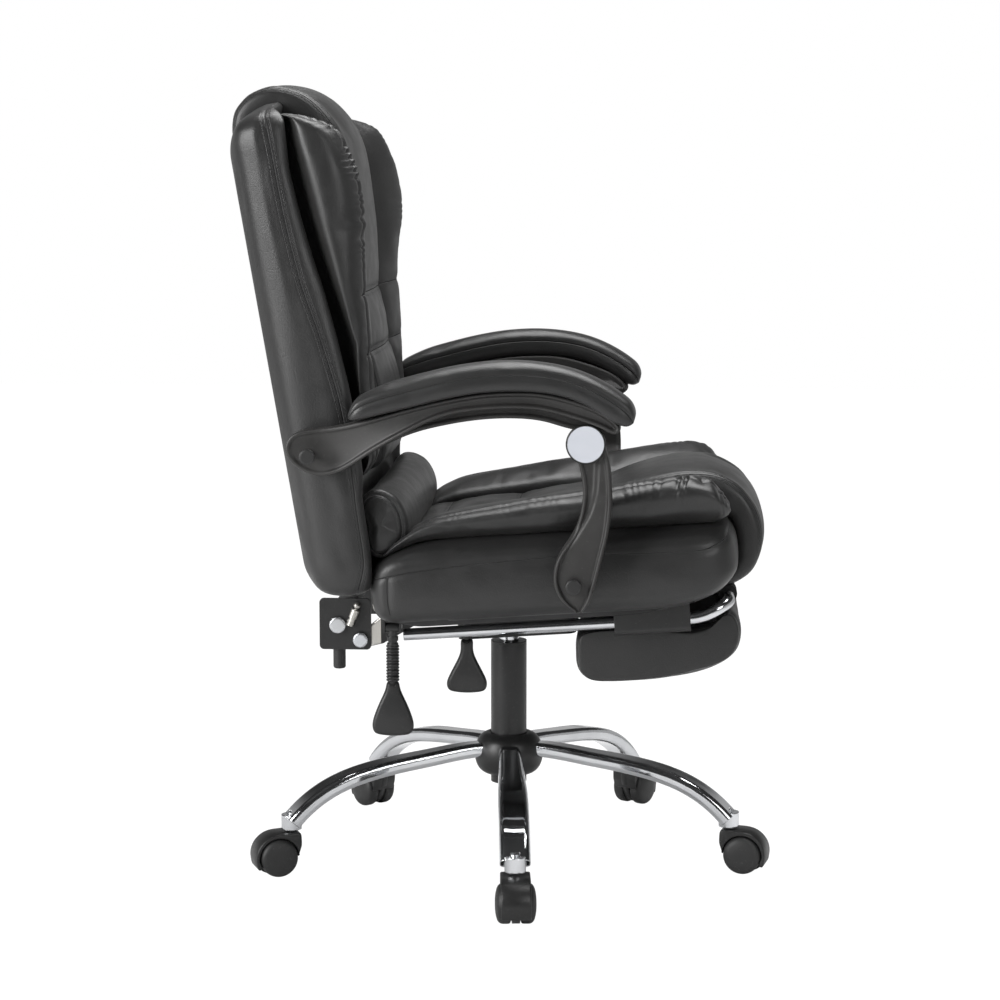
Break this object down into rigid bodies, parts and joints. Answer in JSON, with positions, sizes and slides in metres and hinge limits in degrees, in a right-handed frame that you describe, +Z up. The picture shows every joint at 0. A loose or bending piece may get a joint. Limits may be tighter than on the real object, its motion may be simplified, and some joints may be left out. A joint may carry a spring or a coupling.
{
  "type": "reclining office chair",
  "caption": "Padded reclining office chair with arms, a five-leg caster base and a footrest that slides out from under the seat and unfolds.",
  "frame": {"origin": "on the floor under the axis of the gas column", "axes": "+X forward, the way the sitter faces; +Y to the sitter's left; +Z up"},
  "size_m": [0.7462, 0.7057, 1.0683],
  "materials": {
    "leather": "satin",
    "chrome": "polished",
    "black_plastic": "matte",
    "grey_plastic": "satin",
    "silver_plastic": "satin",
    "black_steel": "satin",
    "pale_steel": "satin",
    "zinc": "satin",
    "plywood": "matte",
    "wheel_plastic": "satin"
  },
  "bodies": {
    "base": {"base_hub": "black_plastic", "base_legs": "chrome", "column_tube": "black_steel", "column_bush": "black_plastic"},
    "piston": {"gas_piston": "chrome"},
    "seat": {"mechanism_housing": "black_steel", "mechanism_bolts": "zinc", "seat_board": "plywood", "seat_base_cushion": "leather", "seat_center_strap": "leather", "seat_side_pad_right": "leather", "seat_side_pad_left": "leather", "rail_guides": "black_plastic", "seat_hinge_brackets": "pale_steel", "pivot_bolts": "zinc", "lever_brackets": "black_steel"},
    "back": {"back_hinge_plates": "black_steel", "back_upright": "black_steel", "back_bolts": "zinc", "back_shell": "leather", "back_center_strap": "leather", "back_side_pad_right": "leather", "back_side_pad_left": "leather", "lumbar_roll": "leather", "cable_fitting": "zinc"},
    "knob": {"tension_knob": "black_plastic"},
    "arms": {"arm_frame_right": "grey_plastic", "arm_frame_left": "grey_plastic", "arm_pad_right": "leather", "arm_pad_left": "leather", "pivot_caps": "silver_plastic"},
    "posts": {"arm_post_right": "grey_plastic", "arm_post_left": "grey_plastic"},
    "footrest": {"footrest_tube": "chrome"},
    "footrest_flap": {"footrest_board": "black_steel", "footrest_pad": "leather"},
    "recline_lever_arm": {"recline_lever": "grey_plastic", "recline_paddle": "black_plastic"},
    "lift_lever_arm": {"lift_lever": "black_steel", "lift_paddle": "black_plastic"},
    "caster_1": {"caster_hood_1": "black_plastic", "caster_pins_1": "zinc"},
    "wheel_1_left": {"caster_wheel_1_left": "wheel_plastic"},
    "wheel_1_right": {"caster_wheel_1_right": "wheel_plastic"},
    "caster_2": {"caster_hood_2": "black_plastic", "caster_pins_2": "zinc"},
    "wheel_2_left": {"caster_wheel_2_left": "wheel_plastic"},
    "wheel_2_right": {"caster_wheel_2_right": "wheel_plastic"},
    "caster_3": {"caster_hood_3": "black_plastic", "caster_pins_3": "zinc"},
    "wheel_3_left": {"caster_wheel_3_left": "wheel_plastic"},
    "wheel_3_right": {"caster_wheel_3_right": "wheel_plastic"},
    "caster_4": {"caster_hood_4": "black_plastic", "caster_pins_4": "zinc"},
    "wheel_4_left": {"caster_wheel_4_left": "wheel_plastic"},
    "wheel_4_right": {"caster_wheel_4_right": "wheel_plastic"},
    "caster_5": {"caster_hood_5": "black_plastic", "caster_pins_5": "zinc"},
    "wheel_5_left": {"caster_wheel_5_left": "wheel_plastic"},
    "wheel_5_right": {"caster_wheel_5_right": "wheel_plastic"}
  },
  "joints": [
    {"name": "gas_lift", "type": "slide", "parent": "base", "child": "piston", "axis": [0, 0, 1], "range_m": [0, 0.09]},
    {"name": "seat_swivel", "type": "hinge", "parent": "piston", "child": "seat", "pos_m": [0, 0, 0.35], "axis": [0, 0, 1], "continuous": true},
    {"name": "recline", "type": "hinge", "parent": "seat", "child": "back", "pos_m": [-0.192, 0, 0.329], "axis": [0, -1, 0], "range_deg": [0, 30]},
    {"name": "arms_tilt", "type": "hinge", "parent": "back", "child": "arms", "pos_m": [-0.239, 0, 0.597], "axis": [0, -1, 0], "range_deg": [-26.4, 0]},
    {"name": "posts_tilt", "type": "hinge", "parent": "seat", "child": "posts", "pos_m": [0.101, 0, 0.431], "axis": [0, -1, 0], "range_deg": [0, 43]},
    {"name": "tension_turn", "type": "hinge", "parent": "back", "child": "knob", "pos_m": [-0.223, -0.12, 0.3], "axis": [0, 0, 1], "continuous": true},
    {"name": "footrest_slide", "type": "slide", "parent": "seat", "child": "footrest", "axis": [0.9976, 0, 0.0698], "range_m": [0, 0.22]},
    {"name": "footrest_flip", "type": "hinge", "parent": "footrest", "child": "footrest_flap", "pos_m": [0.30226, 0, 0.39423], "axis": [0, -1, 0], "range_deg": [0, 180]},
    {"name": "recline_lever_pull", "type": "hinge", "parent": "seat", "child": "recline_lever_arm", "pos_m": [-0.141, -0.206, 0.35916], "axis": [-1, 0, 0], "range_deg": [0, 20], "stiffness_Nm_per_rad": 1.2},
    {"name": "lift_lever_pull", "type": "hinge", "parent": "seat", "child": "lift_lever_arm", "pos_m": [-0.047, -0.15, 0.36572], "axis": [-1, 0, 0], "range_deg": [0, 20], "stiffness_Nm_per_rad": 1.2},
    {"name": "caster_swivel_1", "type": "hinge", "parent": "base", "child": "caster_1", "pos_m": [0.02809, -0.31475, 0.07], "axis": [0, 0, 1], "continuous": true},
    {"name": "wheel_spin_1_left", "type": "hinge", "parent": "caster_1", "child": "wheel_1_left", "pos_m": [0.03005, -0.33666, 0.026], "axis": [0.996, 0.0889, 0], "continuous": true},
    {"name": "wheel_spin_1_right", "type": "hinge", "parent": "caster_1", "child": "wheel_1_right", "pos_m": [0.03005, -0.33666, 0.026], "axis": [0.996, 0.0889, 0], "continuous": true},
    {"name": "caster_swivel_2", "type": "hinge", "parent": "base", "child": "caster_2", "pos_m": [0.30802, -0.07055, 0.07], "axis": [0, 0, 1], "continuous": true},
    {"name": "wheel_spin_2_left", "type": "hinge", "parent": "caster_2", "child": "wheel_2_left", "pos_m": [0.32947, -0.07546, 0.026], "axis": [0.2233, 0.9748, 0], "continuous": true},
    {"name": "wheel_spin_2_right", "type": "hinge", "parent": "caster_2", "child": "wheel_2_right", "pos_m": [0.32947, -0.07546, 0.026], "axis": [0.2233, 0.9748, 0], "continuous": true},
    {"name": "caster_swivel_3", "type": "hinge", "parent": "base", "child": "caster_3", "pos_m": [0.16228, 0.27115, 0.07], "axis": [0, 0, 1], "continuous": true},
    {"name": "wheel_spin_3_left", "type": "hinge", "parent": "caster_3", "child": "wheel_3_left", "pos_m": [0.17358, 0.29003, 0.026], "axis": [-0.8581, 0.5135, 0], "continuous": true},
    {"name": "wheel_spin_3_right", "type": "hinge", "parent": "caster_3", "child": "wheel_3_right", "pos_m": [0.17358, 0.29003, 0.026], "axis": [-0.8581, 0.5135, 0], "continuous": true},
    {"name": "caster_swivel_4", "type": "hinge", "parent": "base", "child": "caster_4", "pos_m": [-0.20773, 0.23813, 0.07], "axis": [0, 0, 1], "continuous": true},
    {"name": "wheel_spin_4_left", "type": "hinge", "parent": "caster_4", "child": "wheel_4_left", "pos_m": [-0.22219, 0.2547, 0.026], "axis": [-0.7536, -0.6574, 0], "continuous": true},
    {"name": "wheel_spin_4_right", "type": "hinge", "parent": "caster_4", "child": "wheel_4_right", "pos_m": [-0.22219, 0.2547, 0.026], "axis": [-0.7536, -0.6574, 0], "continuous": true},
    {"name": "caster_swivel_5", "type": "hinge", "parent": "base", "child": "caster_5", "pos_m": [-0.29066, -0.12398, 0.07], "axis": [0, 0, 1], "continuous": true},
    {"name": "wheel_spin_5_left", "type": "hinge", "parent": "caster_5", "child": "wheel_5_left", "pos_m": [-0.3109, -0.13261, 0.026], "axis": [0.3923, -0.9198, 0], "continuous": true},
    {"name": "wheel_spin_5_right", "type": "hinge", "parent": "caster_5", "child": "wheel_5_right", "pos_m": [-0.3109, -0.13261, 0.026], "axis": [0.3923, -0.9198, 0], "continuous": true}
  ],
  "couplings": [
    {"joint": "arms_tilt", "follows": "recline", "ratio": -0.876},
    {"joint": "posts_tilt", "follows": "recline", "ratio": 1.431},
    {"joint": "footrest_flip", "follows": "footrest_slide", "rad_per_m": 14.28}
  ]
}
